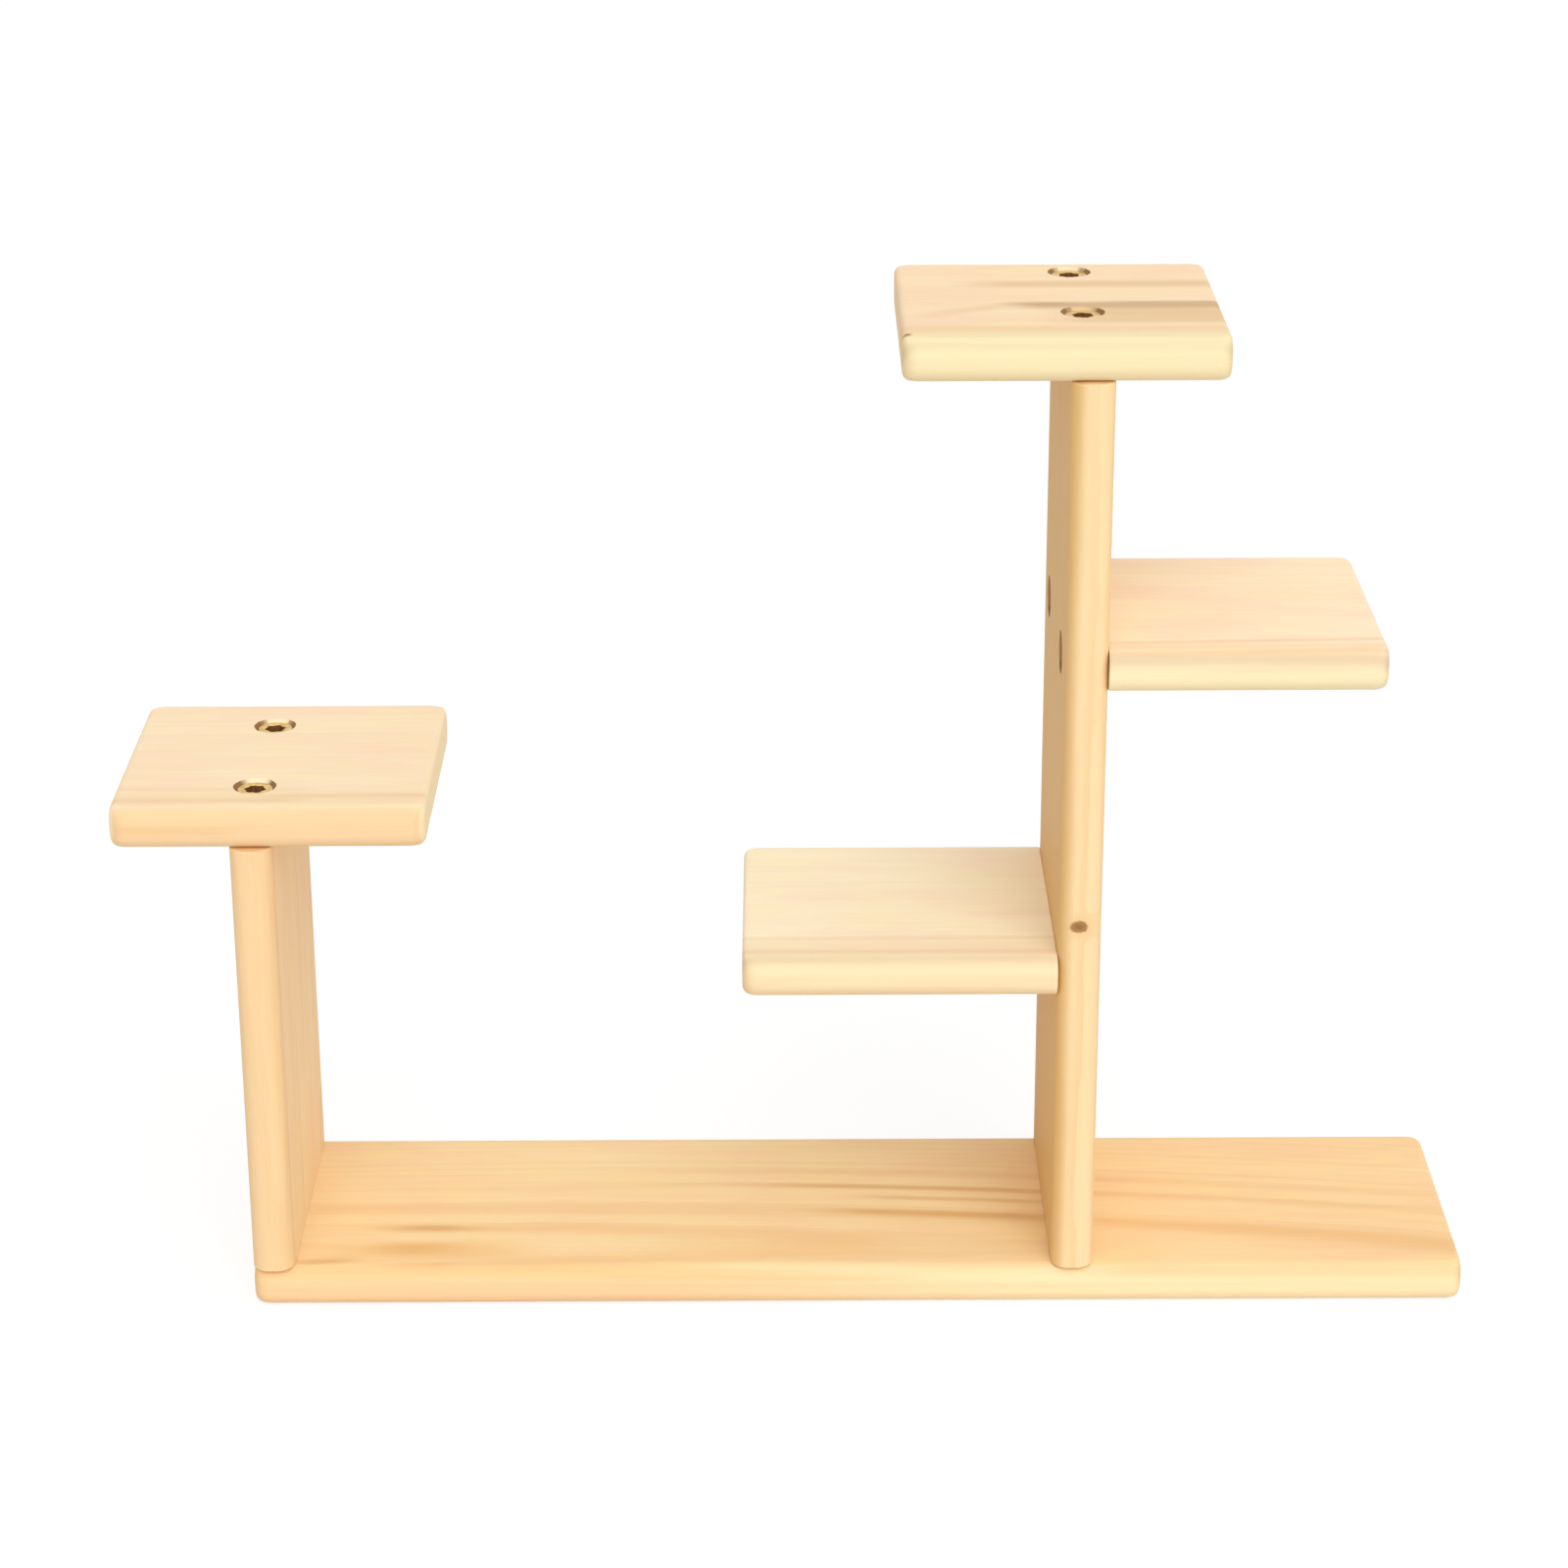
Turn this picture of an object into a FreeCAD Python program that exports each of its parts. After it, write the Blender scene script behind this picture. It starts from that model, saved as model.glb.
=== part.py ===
import FreeCAD, Part
import math
import os

from FreeCAD import Rotation, Vector

# Tiered stand for air plants and small pots, screwed together from one kind of pine strip.
# Lengths are in millimetres. X runs along the base, Y from front to back, Z up.
# The origin is under the middle of the stand's outline, on the surface that it stands on.

# The strip that every board is cut from
strip_width = 80.0
strip_thickness = 11.0
edge_round = 4.5
end_ease = 0.8

# Lengths of the boards
base_length = 320.0
short_post_length = 120.0
tall_post_length = 241.0
short_post_shelf_length = 80.0
top_shelf_length = 80.0
right_shelf_length = 70.0
lower_left_shelf_length = 81.0

# Places of the boards
short_post_shelf_overhang = 30.0
tall_post_from_right_end = 98.0
top_shelf_overhang = 41.0
right_shelf_height = 161.0
lower_left_shelf_height = 78.0

# Countersunk wood screw
screw_length = 35.0
screw_diameter = 4.5
head_diameter = 9.0
head_rim = 0.2
point_length = 6.0
point_diameter = 0.8

# Six-pointed drive socket in the screw's head
socket_across_points = 4.5
socket_across_hollows = 3.25
socket_depth = 2.0

# How many flat sides stand for a round on the screws, and points of the socket
screw_sides = 24
socket_points = 6

# Holes for the screws; the heads under the base are sunk less
head_sink = 0.75
base_head_sink = 0.2
head_gap = 0.05
shank_gap = 0.15
thread_gap = 0.05
pilot_end_room = 2.0
cut_overrun = 1.0

# Places of the screws along the width of the strip
screw_from_front = 17.5
screw_from_back = 18.5
top_screw_from_front = 27.5
top_screw_from_back = 12.0

# Screws beside the middle of a post: those in the top shelf stand a little out of line with each other,
# and those under the short post are further from the end of the base, so that their heads clear it
top_screw_front_shift = -1.2
top_screw_back_shift = -1.8
short_post_screw_shift = 0.6


# Places along the base, measured from its left end and then moved to the origin
stand_left = -short_post_shelf_overhang
stand_middle = (stand_left + base_length) / 2
base_left = -stand_middle
base_right = base_left + base_length
short_post_left = base_left
short_post_right = short_post_left + strip_thickness
tall_post_right = base_right - tall_post_from_right_end
tall_post_left = tall_post_right - strip_thickness
strip_front = -strip_width / 2
strip_back = strip_width / 2

# Heights
base_top = strip_thickness
short_post_top = base_top + short_post_length
tall_post_top = base_top + tall_post_length
right_shelf_bottom = base_top + right_shelf_height
lower_left_shelf_bottom = base_top + lower_left_shelf_height


def strip_outline(width, thickness, radius):
    """Face across the strip in the YZ plane: flat sides joined by rounded edges."""
    edges = []
    last_end = None
    first_start = None
    corner_y = width / 2 - radius
    corner_centres = [
        Vector(0, corner_y, radius),
        Vector(0, corner_y, thickness - radius),
        Vector(0, -corner_y, thickness - radius),
        Vector(0, -corner_y, radius),
    ]
    for turn, centre in enumerate(corner_centres):
        start_angle = (turn - 1) * math.pi / 2
        points = []
        for step in range(3):
            angle = start_angle + step * math.pi / 4
            points.append(centre + Vector(0, math.cos(angle), math.sin(angle)) * radius)
        if last_end is None:
            first_start = points[0]
        else:
            edges.append(Part.makeLine(last_end, points[0]))
        edges.append(Part.Arc(*points).toShape())
        last_end = points[-1]
    edges.append(Part.makeLine(last_end, first_start))
    return Part.Face(Part.Wire(edges))


def lies_on_end(edge, length):
    """True if an edge runs round one of the two sawn ends of a board along X."""
    box = edge.BoundBox
    return box.XLength < end_ease / 2 and min(abs(box.XMin), abs(box.XMax - length)) < end_ease / 2


def make_board(length):
    """Board along X from zero, centred on Y, resting on height zero."""
    board = strip_outline(strip_width, strip_thickness, edge_round).extrude(Vector(length, 0, 0))
    end_edges = [edge for edge in board.Edges if lies_on_end(edge, length)]
    return board.makeChamfer(end_ease, end_edges)


def level_board(length, left, bottom):
    """Board that lies flat."""
    board = make_board(length)
    board.translate(Vector(left, 0, bottom))
    return board


def upright_board(length, left, bottom):
    """Board that stands on its end, with its thickness along X."""
    board = make_board(length)
    board.rotate(Vector(0, 0, 0), Vector(0, 1, 0), -90)
    board.translate(Vector(left + strip_thickness, 0, bottom))
    return board


def revolved(points):
    """Solid turned about Z from its outline in the XZ plane."""
    corners = [Vector(radius, 0, height) for radius, height in points]
    outline = Part.makePolygon(corners + corners[:1])
    return Part.Face(outline).revolve(Vector(0, 0, 0), Vector(0, 0, 1), 360)


def ring(radii, height):
    """Corners set evenly round Z, each at its own radius."""
    turn = 2 * math.pi / len(radii)
    return [
        Vector(radius * math.cos(step * turn), radius * math.sin(step * turn), height)
        for step, radius in enumerate(radii)
    ]


def flat_face(corners):
    """Flat face within its corners."""
    return Part.Face(Part.makePolygon(corners + corners[:1]))


def faceted(rings):
    """Solid with flat sides between rings of corners, given from the top down."""
    faces = [flat_face(rings[0]), flat_face(rings[-1][::-1])]
    for upper, lower in zip(rings, rings[1:]):
        for side in range(len(upper)):
            before = side - 1
            faces.append(flat_face([upper[before], lower[before], lower[side], upper[side]]))
    return Part.Solid(Part.Shell(faces))


def make_screw():
    """Screw along -Z with its flat head at height zero; the shank is as thick as its thread."""
    head_radius = head_diameter / 2
    shank_radius = screw_diameter / 2
    cone_end = -head_rim - (head_radius - shank_radius)
    profile = [
        (head_radius, 0),
        (head_radius, -head_rim),
        (shank_radius, cone_end),
        (shank_radius, -screw_length + point_length),
        (point_diameter / 2, -screw_length),
    ]
    star = [socket_across_points / 2, socket_across_hollows / 2] * socket_points
    socket = faceted([ring(star, cut_overrun), ring(star, -socket_depth)])
    return faceted([ring([radius] * screw_sides, height) for radius, height in profile]).cut(socket)


def make_drill(sink):
    """All that is drilled for one screw whose head is sunk so far below the outer face, at height zero."""
    head_radius = head_diameter / 2
    clear_radius = screw_diameter / 2 + shank_gap
    pilot_radius = screw_diameter / 2 + thread_gap
    mouth_radius = head_radius + sink + head_rim + head_gap * math.sqrt(2)
    cone_end = mouth_radius - clear_radius
    hole_end = sink + screw_length + pilot_end_room
    return revolved([
        (0, cut_overrun),
        (mouth_radius + cut_overrun, cut_overrun),
        (clear_radius, -cone_end),
        (clear_radius, -strip_thickness),
        (pilot_radius, -strip_thickness),
        (pilot_radius, -hole_end),
        (0, -hole_end),
    ])


def placed(shape, direction, start):
    """Copy of a shape made along -Z, turned to run along a direction from its start."""
    copy = shape.copy()
    copy.Placement = FreeCAD.Placement(start, Rotation(Vector(0, 0, -1), direction))
    return copy


boards = {
    "base_board": level_board(base_length, base_left, 0),
    "short_post": upright_board(short_post_length, short_post_left, base_top),
    "tall_post": upright_board(tall_post_length, tall_post_left, base_top),
    "short_post_shelf": level_board(
        short_post_shelf_length, short_post_left - short_post_shelf_overhang, short_post_top
    ),
    "top_shelf": level_board(top_shelf_length, tall_post_left - top_shelf_overhang, tall_post_top),
    "right_shelf": level_board(right_shelf_length, tall_post_right, right_shelf_bottom),
    "lower_left_shelf": level_board(
        lower_left_shelf_length, tall_post_left - lower_left_shelf_length, lower_left_shelf_bottom
    ),
}

half_thickness = strip_thickness / 2
short_post_middle = short_post_left + half_thickness
tall_post_middle = tall_post_left + half_thickness
up = Vector(0, 0, 1)
down = Vector(0, 0, -1)
right = Vector(1, 0, 0)
left = Vector(-1, 0, 0)

front_place = strip_front + screw_from_front
back_place = strip_back - screw_from_back
top_front_place = strip_front + top_screw_from_front
top_back_place = strip_back - top_screw_from_back

# Each pair of screws: name, direction, first board, second board, head's sink, where each screw starts
screw_pairs = [
    ("short_post_screw", up, "base_board", "short_post", base_head_sink,
     Vector(short_post_middle + short_post_screw_shift, front_place, 0),
     Vector(short_post_middle + short_post_screw_shift, back_place, 0)),
    ("tall_post_screw", up, "base_board", "tall_post", base_head_sink,
     Vector(tall_post_middle, front_place, 0),
     Vector(tall_post_middle, back_place, 0)),
    ("short_shelf_screw", down, "short_post_shelf", "short_post", head_sink,
     Vector(short_post_middle, front_place, short_post_top + strip_thickness),
     Vector(short_post_middle, back_place, short_post_top + strip_thickness)),
    ("top_shelf_screw", down, "top_shelf", "tall_post", head_sink,
     Vector(tall_post_middle + top_screw_front_shift, top_front_place, tall_post_top + strip_thickness),
     Vector(tall_post_middle + top_screw_back_shift, top_back_place, tall_post_top + strip_thickness)),
    ("right_shelf_screw", right, "tall_post", "right_shelf", head_sink,
     Vector(tall_post_left, front_place, right_shelf_bottom + half_thickness),
     Vector(tall_post_left, back_place, right_shelf_bottom + half_thickness)),
    ("lower_shelf_screw", left, "tall_post", "lower_left_shelf", head_sink,
     Vector(tall_post_right, front_place, lower_left_shelf_bottom + half_thickness),
     Vector(tall_post_right, back_place, lower_left_shelf_bottom + half_thickness)),
]

screw = make_screw()
screws = {}
for name, direction, first_board, second_board, sink, front_start, back_start in screw_pairs:
    drill = make_drill(sink)
    for side, start in (("front", front_start), ("back", back_start)):
        hole = placed(drill, direction, start)
        boards[first_board] = boards[first_board].cut(hole)
        boards[second_board] = boards[second_board].cut(hole)
        screws[name + "_" + side] = placed(screw, direction, start + direction * sink)

os.makedirs("parts", exist_ok=True)
for name, shape in {**boards, **screws}.items():
    solids = shape.Solids
    shape = solids[0] if len(solids) == 1 else shape
    shape.exportStep(os.path.join("parts", name + ".step"))
    print(name, len(solids), shape.isValid(), round(shape.Volume, 1))
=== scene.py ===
import math
import random

import bmesh
import bpy
from mathutils import Matrix, Vector


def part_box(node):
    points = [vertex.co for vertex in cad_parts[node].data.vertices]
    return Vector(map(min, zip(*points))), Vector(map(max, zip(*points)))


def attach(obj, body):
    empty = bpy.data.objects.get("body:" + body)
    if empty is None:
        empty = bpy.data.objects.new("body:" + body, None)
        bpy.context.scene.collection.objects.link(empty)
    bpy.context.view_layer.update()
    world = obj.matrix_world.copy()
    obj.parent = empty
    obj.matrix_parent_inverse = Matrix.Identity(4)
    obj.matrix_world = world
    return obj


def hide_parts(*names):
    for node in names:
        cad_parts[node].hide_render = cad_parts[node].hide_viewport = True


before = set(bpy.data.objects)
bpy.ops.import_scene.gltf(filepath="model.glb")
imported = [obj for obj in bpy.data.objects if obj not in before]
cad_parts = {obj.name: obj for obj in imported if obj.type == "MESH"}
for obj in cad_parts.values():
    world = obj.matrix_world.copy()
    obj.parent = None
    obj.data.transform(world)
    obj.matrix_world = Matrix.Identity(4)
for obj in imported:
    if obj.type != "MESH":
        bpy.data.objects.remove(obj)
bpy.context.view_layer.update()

# Looks of a tiered pine stand: finely rounded boards with bored and countersunk holes, plated screws with
# threads and star sockets, and solid grain that runs through each board. Lengths are in metres.
mm = 0.001
seeded = random.Random(7)

# Boards; ends that butt against another board keep their corners, but for the joint's round
edge_round = 4.5 * mm
corner_round = 4.2 * mm
end_ease = 1.6 * mm
joint_round = 0.35 * mm
edge_steps = 12
end_steps = 10
sharp_angle = math.radians(32)

# Screws
head_rim = 0.2 * mm
rim_ease = 0.08 * mm
core_diameter = 3.0 * mm
thread_pitch = 2.0 * mm
thread_thickness = 0.7 * mm
thread_root = 0.9
point_length = 6.0 * mm
socket_lobes = 6
socket_across_lobes = 5.6 * mm
socket_across_flutes = 4.7 * mm
lobe_sharpness = 0.8
socket_ease = 0.12 * mm
socket_depth = 2.0 * mm
socket_bottom_depth = 2.5 * mm
round_steps = 48
thread_steps = 24

# Holes
strip_thickness = 11.0 * mm
shank_gap = 0.15 * mm
thread_gap = 0.05 * mm
pilot_end_room = 2.0 * mm
cut_overrun = 1.0 * mm
torn_depth = 0.10 * mm

# Camera
photo_size = 1600
focal_pixels = 3996.0
sensor_width = 36.0
camera_place = Vector((-4.76, -955.65, 508.37)) * mm
camera_pitch = math.radians(21.439)
camera_yaw = math.radians(-0.044)
camera_roll = math.radians(-0.233)

# Light
key_direction = (0.12, -0.74, 0.66)
key_level = 0.40
key_angle = math.radians(50)
ambient_level = 0.62
ambient_side = (0.38, -0.72, 0.58)
ambient_lean = 0.60

# Floor; where it is seen directly, its glow hides all but a faint shadow
floor_reach = 6.0
floor_drop = 0.05 * mm
floor_paint = 0.78
floor_glow = 1.13
floor_glow_share = 0.72

# Waves in a metre of the pine's noises, along the grain and twice across it
waver_waves = (7, 34, 34)
ripple_waves = (45, 180, 180)
fade_waves = (5, 60, 60)
fibre_waves = (70, 2600, 2600)
strand_waves = (14, 420, 420)
cloud_waves = (22, 80, 80)
patch_waves = (40, 130, 130)
speckle_waves = (900, 900, 900)

# Pine: how softly bands and marks end across the board, where colours change along it, how far the borders
# of bands and of the painted shade on a post's left face waver, and how far from the middle the darkened
# walls of holes may lie
band_soft = 1.2 * mm
mark_soft = 0.5 * mm
near_fade = (35 * mm, 75 * mm)
far_front_fade = (-60 * mm, 60 * mm)
edge_waver = 1.6 * mm
painted_shade_waver = 5 * mm
dark_wall_reach = 33 * mm

# Pine's finish and tints
fibre_shade = 0.10
strand_shade = 0.10
pine_roughness = 0.55
pine_specular = 0.30
pine_bump = 0.10 * mm
rosy_tint = (255, 247, 249)
yellow_tint = (255, 254, 246)
sawn_tint = (240, 222, 200)
bored_tone = (132, 88, 36)

# Knots: how deep they reach from the board's middle, and their halo, rim and heart
knot_end = (-25 * mm, 5 * mm)
knot_halo = (232, 186, 128)
knot_rim = (158, 112, 62)
knot_heart = (126, 84, 44)

# Metals: each turns from the first tone to the second in patches; the socket's dark tones are painted shade
plating_tones = (236, 206, 138), (210, 176, 104)
socket_shade_tones = (132, 84, 34), (104, 66, 24)
scuff_bump = 0.03 * mm


class Mark:
    """Line or zone of another tone in the wood, or of painted shade. Its middle is a distance from the pith
    if it goes by the rings, or else a place across the top, from the board's middle. Half is its half width.
    Start and end are along the board, soft is how slowly it fades there, and across limits it to a range
    across the board."""

    def __init__(self, middle, half, start, end, strength, tone,
                 soft=6, slope=0.0, by_ring=False, across=None):
        self.middle = middle * mm
        self.half = half * mm
        self.start = start * mm
        self.end = end * mm
        self.strength = strength
        self.tone = tone
        self.soft = soft * mm
        self.slope = slope
        self.by_ring = by_ring
        self.across = across


class Knot:
    """Knot in a board's front edge: its place along and up from the board's middle, and its half lengths."""

    def __init__(self, along, up, half_along, half_up):
        self.along = along * mm
        self.up = up * mm
        self.half_along = half_along * mm
        self.half_up = half_up * mm


class Look:
    """How a board was cut from its tree, and what shows on it. Places are from the board's middle.

    Every board gives its grain, which is the axis that the fibres follow, the pith's place across and up, the
    width of a year's ring, and how far the rings wander. Early and dark are the colours of the pale wood and
    the rings' dark lines. Band is where the pale band along the front edge begins, and front is its colour:
    partly paler sapwood, partly painted light on the front faces."""

    # How the pith leans and bends away along the board, the share of a year that the rings begin with, how
    # unlike the years are, and how strong their dark lines are
    lean = (0.0, 0.0)
    bend = (0.0, 0.0)
    phase = 0.0
    uneven = 1.6
    late = 0.09

    # The band's place is measured across the top and on down the front, where each length counts by the slant
    slant = 1.0

    # Colours of the front band at the far end, of paler wood with painted light at the near end, of painted
    # shade on a post's left face, and of painted light that makes a board's sawn ends pale
    far_front = None
    near_tone_and_light = None
    side = None
    end = None

    # How dark the walls of holes are where they run along the grain
    dark_wall = 0.0

    marks = ()
    knots = ()

    # Whether the low and the high end butt against another board
    joined = (False, False)

    def __init__(self, **settings):
        for key, value in settings.items():
            setattr(self, key, value)


boards = {
    "base_board": Look(
        grain="X", pith=(-26.1 * mm, -31.7 * mm), lean=(-0.031, -0.0161), bend=(-0.283, -0.014),
        ring=2.8 * mm, phase=0.18, uneven=0.3, wander=0.6 * mm, late=0.22,
        early=(249, 216, 163), near_tone_and_light=(249, 221, 170), dark=(231, 180, 118),
        band=-38.6 * mm, front=(245, 204, 154), far_front=(248, 222, 174),
        marks=(
            Mark(41.9, 2.0, -150, 165, 0.31, (230, 178, 114), by_ring=True),
            Mark(41.6, 1.4, 65, 165, 0.34, (230, 176, 104), by_ring=True),
            # These ring lines darken towards the tall post's foot: partly grain, partly painted shadow the
            # post casts.
            Mark(41.9, 1.3, -5, 52, 0.50, (206, 146, 62), soft=12, by_ring=True),
            Mark(50.2, 1.3, -20, 52, 0.44, (200, 144, 60), soft=16, by_ring=True),
            Mark(46.5, 1.1, 5, 52, 0.40, (208, 152, 70), soft=12, by_ring=True),
            Mark(50.2, 1.6, -60, 165, 0.36, (228, 174, 116), soft=35, by_ring=True),
            Mark(55.9, 1.8, -60, 165, 0.28, (230, 180, 124), soft=35, by_ring=True),
            Mark(37.1, 0.9, -124, -104, 0.70, (208, 150, 80), soft=14, by_ring=True, across=(-24, 0)),
            Mark(37.1, 1.0, -104, 10, 0.36, (236, 182, 114), soft=14, by_ring=True),
            Mark(37.1, 0.8, -131, -107, 0.62, (210, 152, 86), by_ring=True, across=(-42, -34)),
            Mark(35.9, 0.7, -150, -134, 0.55, (212, 154, 84), by_ring=True, across=(-36, -29)),
            Mark(-27.3, 5.0, -127, -108, 0.66, (212, 158, 82), soft=10),
            # Painted shade that dims the highlight on the front round-over, on the left part.
            Mark(-39.2, 5.0, -170, -50, 0.85, (240, 198, 140), soft=35),
            Mark(-29.0, 9.5, -134, -90, 0.62, (238, 190, 126), soft=16),
            # Painted shade that dims the highlight on the front round-over, on the right part.
            Mark(-40.2, 4.2, 62, 170, 0.95, (229, 203, 152), soft=15),
        )),
    "short_post": Look(
        grain="Z", pith=(35 * mm, 30 * mm), lean=(0.02, 0.03),
        ring=2.6 * mm, wander=1.2 * mm, late=0.45, early=(252, 224, 176), dark=(232, 186, 130),
        band=-35 * mm, slant=0.0, front=(241, 205, 154), joined=(True, True)),
    "tall_post": Look(
        grain="Z", pith=(30 * mm, 34 * mm), lean=(-0.01, 0.015),
        ring=2.6 * mm, wander=1.4 * mm, late=0.45, early=(250, 218, 170), dark=(226, 178, 118),
        # Its side colour is painted shade on the post's left face, which faces away from the light.
        band=-35 * mm, slant=0.0, front=(246, 214, 163), side=(226, 184, 120), dark_wall=0.75,
        knots=(Knot(-22.2, 0.5, 1.75, 2.25),), joined=(True, True)),
    "short_post_shelf": Look(
        grain="X", pith=(60 * mm, -40 * mm), lean=(0.02, 0.0),
        ring=2.4 * mm, wander=1.0 * mm, early=(250, 227, 190), dark=(236, 200, 154),
        # Its end colour is painted light that makes its sawn ends pale.
        band=-37.1 * mm, front=(245, 208, 160), end=(255, 235, 191),
        marks=(
            Mark(-31.0, 7.5, -60, 60, 0.34, (240, 206, 158)),
            Mark(-24.6, 2.2, -60, 10, 0.40, (236, 202, 160)),
            Mark(-29.5, 2.4, -2, 60, 0.50, (232, 196, 152)),
            Mark(-32.5, 2.8, -60, 8, 0.48, (234, 196, 148)),
            Mark(-45.5, 2.6, -60, -8, 0.55, (230, 186, 136)),
            Mark(-45.0, 4.5, -60, 60, 0.30, (240, 200, 150)),
            # Painted shade that dims the highlight on the front round-over.
            Mark(-41.6, 4.0, -60, 60, 0.85, (231, 198, 151)),
        )),
    "top_shelf": Look(
        grain="X", pith=(70 * mm, -36 * mm),
        ring=2.8 * mm, wander=0.9 * mm, early=(249, 223, 184), dark=(236, 200, 150),
        band=-31.3 * mm, front=(243, 223, 177),
        marks=(
            Mark(-14.0, 13.0, 2, 60, 0.85, (228, 192, 144), soft=12),
            Mark(-6.0, 5.2, -10, 60, 0.82, (202, 166, 120), soft=6),
            Mark(-4.6, 2.6, -12, 3, 0.55, (190, 156, 120), soft=5),
            Mark(-3.6, 2.8, 12, 60, 0.50, (196, 162, 124), soft=8),
            Mark(0.2, 5.0, -34, -9, 0.42, (228, 190, 146), soft=7, slope=0.45),
            Mark(15.8, 5.6, -20, 60, 0.75, (226, 190, 144), soft=10),
            Mark(-28.5, 5.0, -60, 60, 0.66, (238, 204, 152), soft=8),
            # Painted shade that dims the highlight on the front round-over.
            Mark(-40.6, 3.4, -60, 60, 0.95, (228, 211, 168)),
            Mark(-20.8, 3.6, 2, 60, 0.50, (226, 190, 142), soft=12),
            Mark(-33.4, 2.4, -39.9, -37.9, 0.85, (150, 108, 62), soft=0.8, across=(-35.0, -32.2)),
        )),
    "right_shelf": Look(
        grain="X", pith=(64 * mm, -44 * mm), lean=(-0.05, 0.0),
        ring=2.4 * mm, wander=0.8 * mm, early=(252, 233, 200), dark=(236, 202, 158),
        band=-43.0 * mm, front=(246, 227, 182), joined=(True, False),
        marks=(
            Mark(-30.5, 1.8, -60, 60, 0.50, (234, 200, 156), slope=0.04),
            Mark(-38.2, 2.3, -60, 60, 0.80, (230, 194, 148), slope=0.03),
            Mark(-36.0, 7.0, -60, 60, 0.40, (242, 210, 166), slope=0.02),
            # Painted shade that dims the highlight on the front round-over.
            Mark(-41.0, 4.4, -60, 60, 0.95, (222, 197, 158)),
        )),
    "lower_left_shelf": Look(
        grain="X", pith=(58 * mm, -40 * mm), lean=(0.01, 0.0),
        ring=2.6 * mm, wander=0.9 * mm, early=(255, 240, 206), dark=(240, 208, 164),
        band=-40.3 * mm, front=(244, 220, 176), joined=(False, True),
        marks=(
            Mark(-25.2, 2.0, -60, 60, 0.40, (238, 206, 164)),
            Mark(-33.8, 2.4, -60, 60, 0.58, (234, 198, 154)),
            Mark(-31.0, 8.0, -60, 60, 0.36, (242, 210, 168)),
            Mark(-47.0, 3.5, -60, 60, 0.30, (244, 208, 164)),
            # Painted shade that dims the highlight on the front round-over.
            Mark(-38.7, 4.6, -60, 60, 0.95, (227, 204, 163)),
        )),
}

# Screws: board under the head, board that the thread holds, and the way the screw runs
screw_pairs = {
    "short_post_screw": ("base_board", "short_post", Vector((0, 0, 1))),
    "tall_post_screw": ("base_board", "tall_post", Vector((0, 0, 1))),
    "short_shelf_screw": ("short_post_shelf", "short_post", Vector((0, 0, -1))),
    "top_shelf_screw": ("top_shelf", "tall_post", Vector((0, 0, -1))),
    "right_shelf_screw": ("tall_post", "right_shelf", Vector((1, 0, 0))),
    "lower_shelf_screw": ("tall_post", "lower_left_shelf", Vector((-1, 0, 0))),
}
sides = ("_front", "_back")


def linear(tone):
    """Scene-linear colour, with alpha, of a display colour given from 0 to 255."""
    def channel(value):
        share = value / 255
        return share / 12.92 if share <= 0.04045 else ((share + 0.055) / 1.055) ** 2.4
    return (*map(channel, tone), 1.0)


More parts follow.
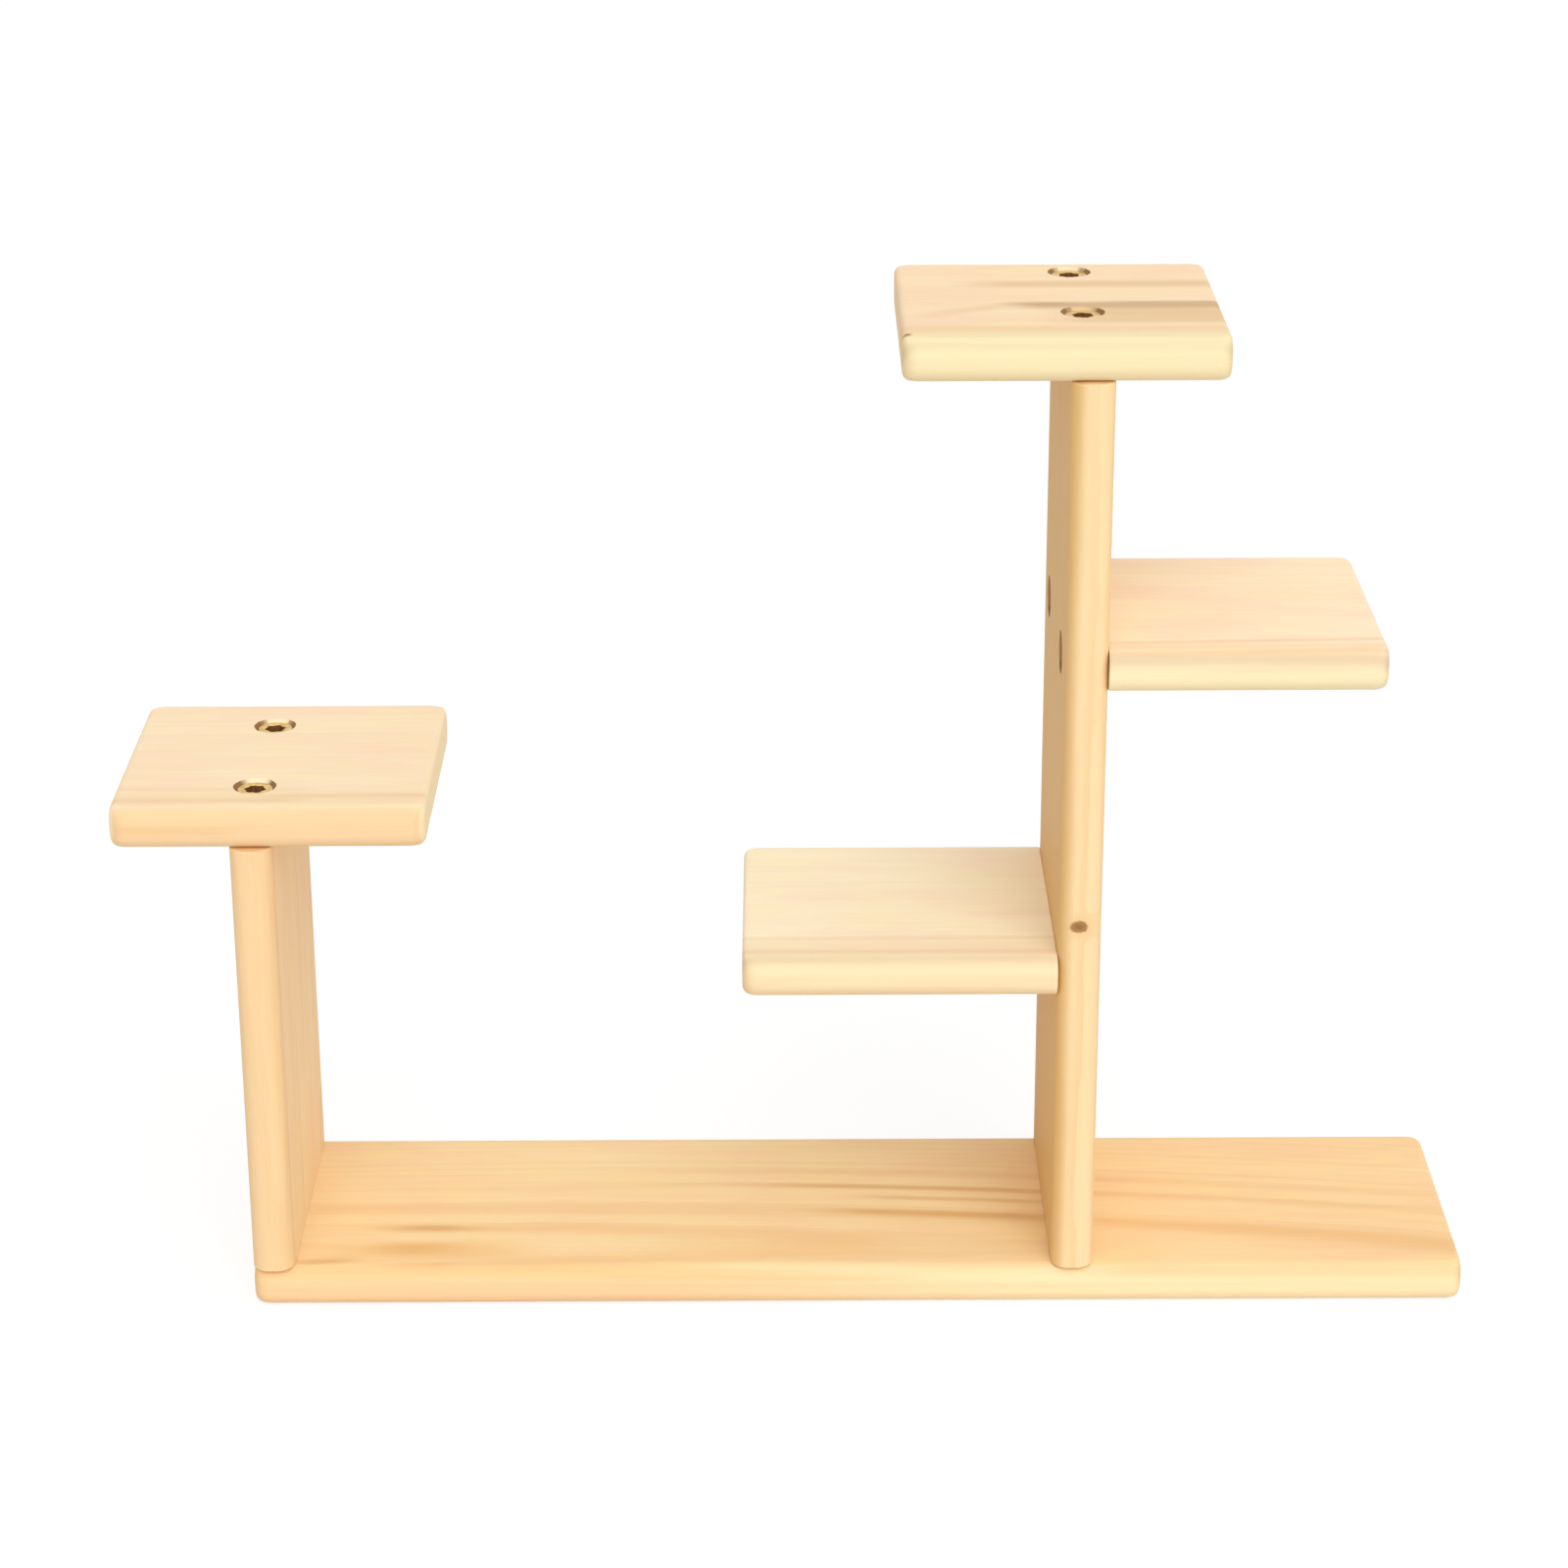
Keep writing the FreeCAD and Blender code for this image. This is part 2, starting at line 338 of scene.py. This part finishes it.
class Graph:
    """Nodes of one material. Its calls return the socket that they make, but for node, feed and finish."""

    def __init__(self, tree):
        self.tree = tree
        tree.nodes.clear()

    def node(self, kind, **settings):
        made = self.tree.nodes.new(kind)
        for key, value in settings.items():
            setattr(made, key, value)
        return made

    def feed(self, node, inputs):
        for key, value in inputs.items():
            if isinstance(value, bpy.types.NodeSocket):
                self.tree.links.new(value, node.inputs[key])
            else:
                node.inputs[key].default_value = value
        return node

    def math(self, operation, *values):
        node = self.node("ShaderNodeMath", operation=operation)
        return self.feed(node, dict(enumerate(values))).outputs[0]

    def vector(self, operation, *values):
        node = self.node("ShaderNodeVectorMath", operation=operation)
        return self.feed(node, dict(enumerate(values))).outputs[0]

    def number(self, operation, *values):
        """Number worked out from vectors, such as a length."""
        node = self.node("ShaderNodeVectorMath", operation=operation)
        return self.feed(node, dict(enumerate(values))).outputs["Value"]

    def combine(self, *values):
        return self.feed(self.node("ShaderNodeCombineXYZ"), dict(enumerate(values))).outputs[0]

    def place(self):
        """Point in the object's own space, which is the stand's."""
        return self.node("ShaderNodeTexCoord").outputs["Object"]

    def noise(self, place, waves, detail=2.0, roughness=0.5):
        """Noise from 0 to 1, with so many waves in a metre along each axis."""
        node = self.node("ShaderNodeTexNoise")
        scaled = self.vector("MULTIPLY", place, waves)
        self.feed(node, {"Vector": scaled, "Scale": 1.0, "Detail": detail, "Roughness": roughness})
        return node.outputs[0]

    def swing(self, place, waves, detail):
        """Noise about zero."""
        return self.math("SUBTRACT", self.noise(place, waves, detail), 0.5)

    def rise(self, value, low, high, start=0.0, end=1.0):
        """Smooth step from start, where the value is low, to end, where it is high."""
        node = self.node("ShaderNodeMapRange", interpolation_type="SMOOTHSTEP")
        return self.feed(node, {0: value, 1: low, 2: high, 3: start, 4: end}).outputs[0]

    def within(self, value, start, end, soft):
        """1 between start and end, fading to 0 over a soft length at both."""
        enters = self.rise(value, start - soft, start + soft)
        return self.math("MULTIPLY", enters, self.rise(value, end - soft, end + soft, 1.0, 0.0))

    def mix(self, share, first, second, blend="MIX"):
        node = self.node("ShaderNodeMix", data_type="RGBA", blend_type=blend)
        return self.feed(node, {0: share, 6: first, 7: second}).outputs[2]

    def bump(self, height, strength, distance):
        node = self.node("ShaderNodeBump")
        return self.feed(node, {"Strength": strength, "Distance": distance, "Height": height}).outputs[0]

    def finish(self, shader, output="ShaderNodeOutputMaterial"):
        """Makes a shader node the surface."""
        self.feed(self.node(output), {"Surface": shader.outputs[0]})


def new_material(name):
    """Material with nodes, and its empty graph."""
    material = bpy.data.materials.new(name)
    material.use_nodes = True
    return material, Graph(material.node_tree)


class Pine:
    """Solid wood of one board, in a graph: places in it, and what varies with them."""

    def __init__(self, graph, name, look):
        low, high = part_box(name)
        self.graph = graph
        self.look = look
        self.half_thickness = min(high - low) / 2
        centred = graph.vector("SUBTRACT", graph.place(), (low + high) / 2)
        x, y, z = graph.feed(graph.node("ShaderNodeSeparateXYZ"), {0: centred}).outputs
        if look.grain == "X":
            self.along, self.across, self.up = x, y, z
            self.grain = Vector((1, 0, 0))
        else:
            self.along, self.across, self.up = z, y, graph.math("MULTIPLY", x, -1.0)
            self.grain = Vector((0, 0, 1))
        self.half_length = (high - low).dot(self.grain) / 2
        self.shift = [seeded.uniform(0, 9) for _ in range(3)]
        self.place = graph.vector("ADD", graph.combine(self.along, self.across, self.up), self.shift)
        self.waver = graph.swing(self.place, waver_waves, 3.0)
        self.fibre = graph.noise(self.place, fibre_waves, 2.0, 0.6)
        self.strand = graph.noise(self.place, strand_waves, 3.0, 0.6)
        self.knot_distances = [self.distance_from(knot) for knot in look.knots]
        self.radius = self.pith_distance()
        self.summer = self.summerwood()
        self.edge = self.place_round_edge()

    def distance_from(self, knot):
        """Distance from a knot's core, in half lengths. It grows inside the board, where the knot ends."""
        graph = self.graph
        off_along = graph.math("DIVIDE", graph.math("SUBTRACT", self.along, knot.along), knot.half_along)
        off_up = graph.math("DIVIDE", graph.math("SUBTRACT", self.up, knot.up), knot.half_up)
        distance = graph.number("LENGTH", graph.combine(off_along, off_up, 0.0))
        return graph.math("ADD", distance, graph.rise(self.across, *knot_end, 0.0, 4.0))

    def pith_distance(self):
        """Distance from the pith, made uneven along the grain and pushed aside by knots."""
        graph, look = self.graph, self.look
        up = self.up
        for knot, distance in zip(look.knots, self.knot_distances):
            push = graph.rise(distance, 0.6, 3.6, -0.75, 0.0)
            push = graph.math("MULTIPLY", graph.math("SUBTRACT", self.up, knot.up), push)
            up = graph.math("ADD", up, push)
        legs = []
        for axis, pith, lean, bend in zip((self.across, up), look.pith, look.lean, look.bend):
            drift = graph.math("MULTIPLY", self.along, graph.math("MULTIPLY_ADD", self.along, bend, lean))
            legs.append(graph.math("SUBTRACT", graph.math("SUBTRACT", axis, pith), drift))
        radius = graph.number("LENGTH", graph.combine(*legs, 0.0))
        radius = graph.math("MULTIPLY_ADD", self.waver, 2 * look.wander, radius)
        ripple = graph.swing(self.place, ripple_waves, 2.0)
        return graph.math("MULTIPLY_ADD", ripple, 0.9 * look.wander, radius)

    def summerwood(self):
        """Strength of the thin dark line in each year, which comes and goes and differs between years."""
        graph, look = self.graph, self.look
        years = graph.math("ADD", graph.math("DIVIDE", self.radius, look.ring), look.phase)
        unlike = graph.noise(graph.combine(years, self.shift[0], 0.0), (0.45, 1, 1), 2.0)
        years = graph.math("MULTIPLY_ADD", unlike, look.uneven, years)
        season = graph.math("FRACT", years)
        line = graph.math("MULTIPLY", graph.rise(season, 0.35, 0.9), graph.rise(season, 0.93, 1.0, 1.0, 0.0))
        fade = graph.rise(graph.noise(self.place, fade_waves, 2.0), 0.3, 0.7, 0.25, 1.0)
        vigour = graph.noise(graph.combine(years, self.shift[1], 0.0), (0.8, 1, 1), 0.0)
        vigour = graph.rise(vigour, 0.35, 0.65, 0.35, 1.2)
        line = graph.math("MULTIPLY", line, fade)
        return graph.math("MULTIPLY", line, graph.math("MULTIPLY", vigour, look.late))

    def place_round_edge(self):
        """Place across the top that goes on down the front, by the look's slant, and wavers."""
        graph = self.graph
        down = graph.math("MULTIPLY", graph.math("SUBTRACT", self.up, self.half_thickness), self.look.slant)
        return graph.math("MULTIPLY_ADD", self.waver, edge_waver, graph.math("ADD", self.across, down))

    def pale_wood(self):
        """Colour between the rings' dark lines, with faint clouds."""
        graph, look = self.graph, self.look
        colour = linear(look.early)
        # Paler towards the base's left: partly the wood's tone, partly painted light that lifts the shade
        # under the shelves.
        if look.near_tone_and_light:
            colour = graph.mix(graph.rise(self.along, *near_fade), linear(look.near_tone_and_light), colour)
        rosy = graph.mix(1.0, colour, linear(rosy_tint), "MULTIPLY")
        yellow = graph.mix(1.0, colour, linear(yellow_tint), "MULTIPLY")
        cloud = graph.noise(self.place, cloud_waves, 3.0)
        patch = graph.noise(self.place, patch_waves, 2.0)
        colour = graph.mix(graph.rise(cloud, 0.35, 0.65), colour, rosy)
        return graph.mix(graph.rise(patch, 0.45, 0.75), colour, yellow)

    def front_band_and_light(self):
        """Colour of the band along the front edge: partly paler sapwood, partly painted light on the front
        faces.
        """
        graph, look = self.graph, self.look
        colour = linear(look.front)
        if look.far_front:
            colour = graph.mix(graph.rise(self.along, *far_front_fade), colour, linear(look.far_front))
        return graph.mix(graph.math("MULTIPLY", self.summer, 0.6), colour, linear(look.dark))

    def marked(self, colour, mark):
        """Colour with one mark laid over it."""
        graph = self.graph
        middle = graph.math("MULTIPLY_ADD", self.along, mark.slope, mark.middle)
        measured = self.radius if mark.by_ring else self.edge
        off = graph.math("ABSOLUTE", graph.math("SUBTRACT", measured, middle))
        there = graph.rise(off, 0.1 * mark.half, mark.half, mark.strength, 0.0)
        there = graph.math("MULTIPLY", there, graph.within(self.along, mark.start, mark.end, mark.soft))
        if mark.across:
            start, end = mark.across
            inside = graph.within(self.across, start * mm, end * mm, mark_soft)
            there = graph.math("MULTIPLY", there, inside)
        return graph.mix(there, colour, linear(mark.tone))

    def knotted(self, colour, distance):
        """Colour with one knot laid over it, from its halo to its heart."""
        graph = self.graph
        grit = graph.noise(self.place, speckle_waves, 2.0)
        speckle = graph.math("MULTIPLY_ADD", grit, 0.5, graph.math("SUBTRACT", distance, 0.25))
        colour = graph.mix(graph.rise(speckle, 1.0, 2.4, 0.35, 0.0), colour, linear(knot_halo))
        colour = graph.mix(graph.rise(speckle, 0.75, 1.15, 0.92, 0.0), colour, linear(knot_rim))
        return graph.mix(graph.rise(speckle, 0.1, 0.7, 0.45, 0.0), colour, linear(knot_heart))

    def planed(self):
        """Colour of the planed sides."""
        graph, look = self.graph, self.look
        colour = graph.mix(self.summer, self.pale_wood(), linear(look.dark))
        near_front = graph.rise(self.edge, look.band - band_soft, look.band + band_soft, 1.0, 0.0)
        colour = graph.mix(near_front, colour, self.front_band_and_light())
        # Painted shade: a post's left face, which faces away from the light, takes the darker side colour.
        if look.side:
            painted_shade_share = graph.math("MULTIPLY_ADD", self.waver, painted_shade_waver, self.up)
            painted_shade_share = graph.rise(painted_shade_share, 0.15 * self.half_thickness, 0.9 * self.half_thickness)
            colour = graph.mix(painted_shade_share, colour, linear(look.side))
        for mark in look.marks:
            colour = self.marked(colour, mark)
        for distance in self.knot_distances:
            colour = self.knotted(colour, distance)
        shade = graph.math("MULTIPLY", self.fibre, fibre_shade)
        shade = graph.math("ADD", shade, graph.math("MULTIPLY", self.strand, strand_shade))
        shade = graph.math("ADD", shade, 1.0 - fibre_shade)
        return graph.mix(1.0, colour, graph.combine(shade, shade, shade), "MULTIPLY")

    def cut(self, colour):
        """Colour with the sawn ends, and with the walls of holes where they cut the fibres. A look's end
        colour is painted light that makes its sawn ends pale.
        """
        graph, look = self.graph, self.look
        normal = graph.node("ShaderNodeNewGeometry").outputs["Normal"]
        facing = graph.math("ABSOLUTE", graph.number("DOT_PRODUCT", normal, self.grain))
        sawn = graph.rise(facing, 0.5, 0.95)
        inside = self.half_length - 2 * corner_round
        bored = graph.math("LESS_THAN", graph.math("ABSOLUTE", self.along), inside)
        bored = graph.math("MULTIPLY", bored, graph.rise(facing, 0.25, 0.6))
        # Walls of holes that run along the grain are darker, within a reach of the board's middle.
        if look.dark_wall:
            level = graph.math("ABSOLUTE", graph.number("DOT_PRODUCT", normal, Vector((1, 0, 0))))
            wall = graph.math("LESS_THAN", graph.math("ABSOLUTE", self.across), dark_wall_reach)
            wall = graph.math("MULTIPLY", wall, graph.rise(level, 0.75, 0.95, look.dark_wall, 0.0))
            bored = graph.math("MAXIMUM", bored, wall)
        # Painted light: where a look gives an end colour, its sawn ends are made pale instead of darker.
        if look.end:
            colour = graph.mix(graph.math("MULTIPLY", sawn, 0.9), colour, linear(look.end))
        else:
            colour = graph.mix(graph.math("MULTIPLY", sawn, 0.3), colour, linear(sawn_tint), "MULTIPLY")
        return graph.mix(graph.math("MULTIPLY", bored, 0.95), colour, linear(bored_tone))

    def relief(self):
        """Normal on faces that the fibres and the dark lines make slightly uneven."""
        graph = self.graph
        height = graph.math("MULTIPLY", self.fibre, 0.5)
        height = graph.math("ADD", height, graph.math("MULTIPLY", self.summer, 0.5))
        return graph.bump(height, 0.22, pine_bump)


def pine_material(name, look):
    """Bare pine with solid grain, for one board."""
    material, graph = new_material("pine_" + name)
    wood = Pine(graph, name, look)
    shader = graph.node("ShaderNodeBsdfPrincipled")
    graph.feed(shader, {
        "Base Color": wood.cut(wood.planed()),
        "Roughness": graph.math("MULTIPLY_ADD", wood.strand, 0.15, pine_roughness),
        "Specular IOR Level": pine_specular,
        "Normal": wood.relief(),
    })
    graph.finish(shader)
    return material


def plated_metal():
    """Yellow zinc plating: satin gold that turns a little olive in patches."""
    material, graph = new_material("screw_metal")
    patches = graph.noise(graph.place(), (600, 600, 600), 3.0)
    scuffs = graph.noise(graph.place(), (5200, 5200, 5200), 2.0)
    shader = graph.node("ShaderNodeBsdfPrincipled")
    graph.feed(shader, {
        "Base Color": graph.mix(graph.rise(patches, 0.35, 0.7), *map(linear, plating_tones)),
        "Metallic": 1.0,
        "Roughness": graph.math("MULTIPLY_ADD", scuffs, 0.2, 0.28),
        "Normal": graph.bump(scuffs, 0.2, scuff_bump),
    })
    graph.finish(shader)
    return material


def shaded_socket_metal():
    """Inside of a drive socket, dark with painted shade of its deep recess."""
    material, graph = new_material("socket_inside")
    socket_patches = graph.noise(graph.place(), (1400, 1400, 1400), 2.0)
    colour = graph.mix(graph.rise(socket_patches, 0.4, 0.7), *map(linear, socket_shade_tones))
    shader = graph.node("ShaderNodeBsdfPrincipled")
    graph.feed(shader, {"Base Color": colour, "Metallic": 0.2, "Roughness": 0.6})
    graph.finish(shader)
    return material


def add_tube(shape, rings, dark_bands=0):
    """Adds a closed surface through rings of points, with flat ends. So many dark bands, and the end before
    them, take the second material."""
    loops = [[shape.verts.new(point) for point in ring] for ring in rings]
    faces = []
    for band, (first, second) in enumerate(zip(loops, loops[1:])):
        for step in range(len(first)):
            face = shape.faces.new((first[step - 1], first[step], second[step], second[step - 1]))
            face.material_index = int(band < dark_bands)
            faces.append(face)
    cap = shape.faces.new(loops[0][::-1])
    cap.material_index = int(dark_bands > 0)
    faces.append(cap)
    faces.append(shape.faces.new(loops[-1]))
    bmesh.ops.recalc_face_normals(shape, faces=faces)


def finished(shape, name):
    """Object made from a bmesh, which is used up."""
    mesh = bpy.data.meshes.new(name)
    shape.to_mesh(mesh)
    shape.free()
    made = bpy.data.objects.new(name, mesh)
    bpy.context.scene.collection.objects.link(made)
    return made


def smoothed(piece):
    """Smooth shading that keeps the flats flat and the sharp edges sharp."""
    shape = bmesh.new()
    shape.from_mesh(piece.data)
    for face in shape.faces:
        face.smooth = True
    for edge in shape.edges:
        edge.smooth = edge.calc_face_angle(math.pi) < sharp_angle
    shape.to_mesh(piece.data)
    shape.free()
    weighted = piece.modifiers.new("flats", "WEIGHTED_NORMAL")
    weighted.keep_sharp = True


def strip_section(width, thickness, radius):
    """Points round a board's section, as pairs across and up."""
    corners = [(1, -1, -90), (1, 1, 0), (-1, 1, 90), (-1, -1, 180)]
    points = []
    for side, rise, start in corners:
        for step in range(edge_steps + 1):
            angle = math.radians(start + 90 * step / edge_steps)
            across = side * (width / 2 - radius) + radius * math.cos(angle)
            up = rise * (thickness / 2 - radius) + radius * math.sin(angle)
            points.append((across, up))
    return points


def drawn_in(radius, from_end):
    """How far a round of this radius draws a surface in, at a distance from the end."""
    return radius - math.sqrt(radius ** 2 - max(0.0, radius - from_end) ** 2)


def board_shape(name, look):
    """Uncut board with rounded long edges, free corners and eased ends, where its CAD node is."""
    low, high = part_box(name)
    middle = (low + high) / 2
    size = high - low
    if look.grain == "X":
        along, up = Vector((1, 0, 0)), Vector((0, 0, 1))
    else:
        along, up = Vector((0, 0, 1)), Vector((-1, 0, 0))
    across = Vector((0, 1, 0))
    length, width, thickness = (abs(size.dot(axis)) for axis in (along, across, up))
    rings = []
    for end, joined in zip((-1, 1), look.joined):
        corner, ease_radius = (joint_round, joint_round) if joined else (corner_round, end_ease)
        stations = []
        for step in range(end_steps + 1):
            from_end = corner * (step / end_steps) ** 2
            ease = drawn_in(ease_radius, from_end)
            inset = drawn_in(corner, from_end)
            section = strip_section(width - 2 * inset, thickness - 2 * ease, edge_round - ease)
            centre = middle + along * end * (length / 2 - from_end)
            stations.append([centre + across * x + up * z for x, z in section])
        rings += stations if end < 0 else stations[::-1]
    shape = bmesh.new()
    add_tube(shape, rings)
    return finished(shape, name + "_pine")


def screw_frame(name, direction):
    """A screw's length, and the matrix that puts its head at its start and turns -Z to its direction."""
    low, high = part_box(name)
    length = abs((high - low).dot(direction))
    turn = Vector((0, 0, -1)).rotation_difference(direction).to_matrix().to_4x4()
    start = (low + high) / 2 - direction * length / 2
    return length, Matrix.Translation(start) @ turn


def screw_head_radius(name):
    """Half a screw's width, which is its head's."""
    low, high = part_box(name)
    return min(high - low) / 2


def circle(radius, height, steps=round_steps):
    """Ring of points round Z."""
    turn = 2 * math.pi / steps
    return [Vector((radius * math.cos(s * turn), radius * math.sin(s * turn), height)) for s in range(steps)]


def star(height, grown):
    """Ring round the drive socket, with rounded lobes and wider hollows, grown outwards."""
    ring = []
    for point in circle(1.0, height):
        angle = math.atan2(point.y, point.x)
        wave = (0.5 + 0.5 * math.cos(socket_lobes * angle)) ** lobe_sharpness
        radius = (socket_across_flutes + (socket_across_lobes - socket_across_flutes) * wave) / 2 + grown
        ring.append(Vector((radius * point.x, radius * point.y, height)))
    return ring


def thread_sections(length, cone_end, core_radius, thread_radius):
    """Triangles along a screw's thread, which grows below the head and shrinks on the point."""
    sections = []
    turns = (length + cone_end - thread_pitch) / thread_pitch
    for step in range(int(turns * thread_steps)):
        depth = -cone_end + thread_pitch * (step / thread_steps + 0.5)
        on_point = min(1.0, (length - depth) / point_length)
        taper = min(on_point, (depth + cone_end) / thread_pitch)
        angle = 2 * math.pi * step / thread_steps
        out = Vector((math.cos(angle), math.sin(angle), 0))
        root = core_radius * on_point * thread_root
        crest = root + (thread_radius - root) * taper
        half = Vector((0, 0, thread_thickness / 2 * taper))
        centre = Vector((0, 0, -depth))
        sections.append([centre + out * root - half, centre + out * crest, centre + out * root + half])
    return sections


def add_screw(name, direction, metals):
    """Screw with a flat head, star socket, thread and gimlet point, where its CAD node is."""
    length, place = screw_frame(name, direction)
    head_radius = screw_head_radius(name)
    thread_radius = head_radius / 2
    core_radius = core_diameter / 2
    cone_end = -head_rim - (head_radius - thread_radius)
    shape = bmesh.new()
    # The socket's walls and bottom take the second metal, whose dark tones are painted shade of the recess.
    add_tube(shape, [
        circle(socket_ease, -socket_bottom_depth),
        star(-socket_depth, -socket_ease),
        star(-socket_ease, 0.0),
        star(0.0, socket_ease),
        circle(head_radius - rim_ease, 0.0),
        circle(head_radius, -rim_ease),
        circle(head_radius, -head_rim),
        circle(thread_radius, cone_end),
        circle(core_radius, cone_end - (thread_radius - core_radius)),
        circle(core_radius, -length + point_length),
        circle(rim_ease, -length),
    ], dark_bands=2)
    add_tube(shape, thread_sections(length, cone_end, core_radius, thread_radius))
    spin = Matrix.Rotation(seeded.uniform(0, math.pi), 4, "Z")
    bmesh.ops.transform(shape, matrix=place @ spin, verts=shape.verts)
    piece = finished(shape, name + "_plated")
    for metal in metals:
        piece.data.materials.append(metal)
    smoothed(piece)
    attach(piece, "root")
    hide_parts(name)


def add_drill(shape, name, direction, first_board):
    """Adds what is bored and countersunk for one screw, with a slightly torn mouth."""
    length, place = screw_frame(name, direction)
    head_radius = screw_head_radius(name)
    thread_radius = head_radius / 2
    face_low, face_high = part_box(first_board)
    face = face_low if sum(direction) > 0 else face_high
    sink = abs((place.translation - face).dot(direction))
    mouth = head_radius + sink + head_rim + thread_gap * math.sqrt(2)
    clear = thread_radius + shank_gap
    pilot = thread_radius + thread_gap
    overrun = circle(mouth + cut_overrun, 0.0)
    torn = [point * (1 + seeded.uniform(-1, 1) * torn_depth / mouth) for point in overrun]
    drill = bmesh.new()
    add_tube(drill, [
        [point + Vector((0, 0, sink + cut_overrun)) for point in torn],
        circle(clear, sink - (mouth - clear)),
        circle(clear, sink - strip_thickness),
        circle(pilot, sink - strip_thickness),
        circle(pilot, -length - pilot_end_room),
    ])
    bmesh.ops.transform(drill, matrix=place, verts=drill.verts)
    scratch = bpy.data.meshes.new("drill")
    drill.to_mesh(scratch)
    drill.free()
    shape.from_mesh(scratch)
    bpy.data.meshes.remove(scratch)


def add_board(name, look):
    """Board with its holes, in its own pine."""
    piece = board_shape(name, look)
    drills = bmesh.new()
    for pair, (first_board, second_board, direction) in screw_pairs.items():
        if name in (first_board, second_board):
            for side in sides:
                add_drill(drills, pair + side, direction, first_board)
    cutter = finished(drills, "drills")
    cut = piece.modifiers.new("holes", "BOOLEAN")
    cut.operation = "DIFFERENCE"
    cut.solver = "EXACT"
    cut.object = cutter
    evaluated = piece.evaluated_get(bpy.context.evaluated_depsgraph_get())
    whole = piece.data
    piece.data = bpy.data.meshes.new_from_object(evaluated)
    piece.modifiers.clear()
    bpy.data.meshes.remove(whole)
    bpy.data.objects.remove(cutter)
    piece.data.materials.clear()
    piece.data.materials.append(pine_material(name, look))
    smoothed(piece)
    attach(piece, "root")
    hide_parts(name)


def add_camera():
    """Camera that looks at the stand as the photograph does."""
    ahead = Vector((0, math.cos(camera_pitch), -math.sin(camera_pitch)))
    up = Vector((0, math.sin(camera_pitch), math.cos(camera_pitch)))
    right = Vector((1, 0, 0))
    turn = Matrix.Rotation(camera_yaw, 3, "Z")
    ahead, up, right = turn @ ahead, turn @ up, turn @ right
    rolled_right = math.cos(camera_roll) * right + math.sin(camera_roll) * up
    rolled_up = -math.sin(camera_roll) * right + math.cos(camera_roll) * up
    data = bpy.data.cameras.new("camera")
    data.sensor_width = sensor_width
    data.lens = focal_pixels * sensor_width / photo_size
    data.clip_start = 0.01
    camera = bpy.data.objects.new("camera", data)
    axes = Matrix((rolled_right, rolled_up, -ahead)).transposed().to_4x4()
    camera.matrix_world = Matrix.Translation(camera_place) @ axes
    bpy.context.scene.collection.objects.link(camera)
    bpy.context.scene.camera = camera


def add_key():
    """Broad, far lamp. At level 1 a white surface that faces it renders white."""
    data = bpy.data.lights.new("key", "SUN")
    data.energy = key_level * math.pi
    data.angle = key_angle
    lamp = bpy.data.objects.new("key", data)
    away = Vector(key_direction).normalized()
    lamp.matrix_world = Matrix.Translation(away) @ away.to_track_quat("Z", "Y").to_matrix().to_4x4()
    bpy.context.scene.collection.objects.link(lamp)


def seen_directly(graph):
    """1 for rays from the camera and for those that gloss and clear things send on."""
    rays = graph.node("ShaderNodeLightPath").outputs
    sent_on = graph.math("MAXIMUM", rays["Is Glossy Ray"], rays["Is Transmission Ray"])
    return graph.math("MAXIMUM", rays["Is Camera Ray"], sent_on)


def white_background(graph, strength):
    """White background shader."""
    return graph.feed(graph.node("ShaderNodeBackground"), {"Color": (1, 1, 1, 1), "Strength": strength})


def mixed_shader(graph, share, first, second):
    """Mix of two shader nodes."""
    inputs = {0: share, 1: first.outputs[0], 2: second.outputs[0]}
    return graph.feed(graph.node("ShaderNodeMixShader"), inputs)


def add_world():
    """White world that lights more from one side."""
    world = bpy.data.worlds.new("world")
    world.use_nodes = True
    graph = Graph(world.node_tree)
    outwards = graph.node("ShaderNodeTexCoord").outputs["Generated"]
    towards = graph.number("DOT_PRODUCT", outwards, Vector(ambient_side).normalized())
    strength = graph.math("MULTIPLY_ADD", towards, ambient_level * ambient_lean, ambient_level)
    ambient = white_background(graph, strength)
    mixed = mixed_shader(graph, seen_directly(graph), ambient, white_background(graph, 1.0))
    graph.finish(mixed, "ShaderNodeOutputWorld")
    bpy.context.scene.world = world


def add_floor():
    """Pale floor that keeps a faint shadow."""
    shape = bmesh.new()
    bmesh.ops.create_grid(shape, x_segments=1, y_segments=1, size=floor_reach)
    floor = finished(shape, "floor")
    floor.location.z = -floor_drop
    material, graph = new_material("pale_floor")
    grey = (floor_paint, floor_paint, floor_paint, 1)
    paint = graph.feed(graph.node("ShaderNodeBsdfDiffuse"), {"Color": grey})
    glow = graph.node("ShaderNodeEmission")
    graph.feed(glow, {"Color": (1, 1, 1, 1), "Strength": floor_glow})
    share = graph.math("MULTIPLY", seen_directly(graph), floor_glow_share)
    graph.finish(mixed_shader(graph, share, paint, glow))
    floor.data.materials.append(material)


add_camera()
add_world()
add_floor()
add_key()
metals = [plated_metal(), shaded_socket_metal()]
for name, look in boards.items():
    add_board(name, look)
for pair, (first_board, second_board, direction) in screw_pairs.items():
    for side in sides:
        add_screw(pair + side, direction, metals)

bpy.context.scene.view_settings.view_transform = "Standard"
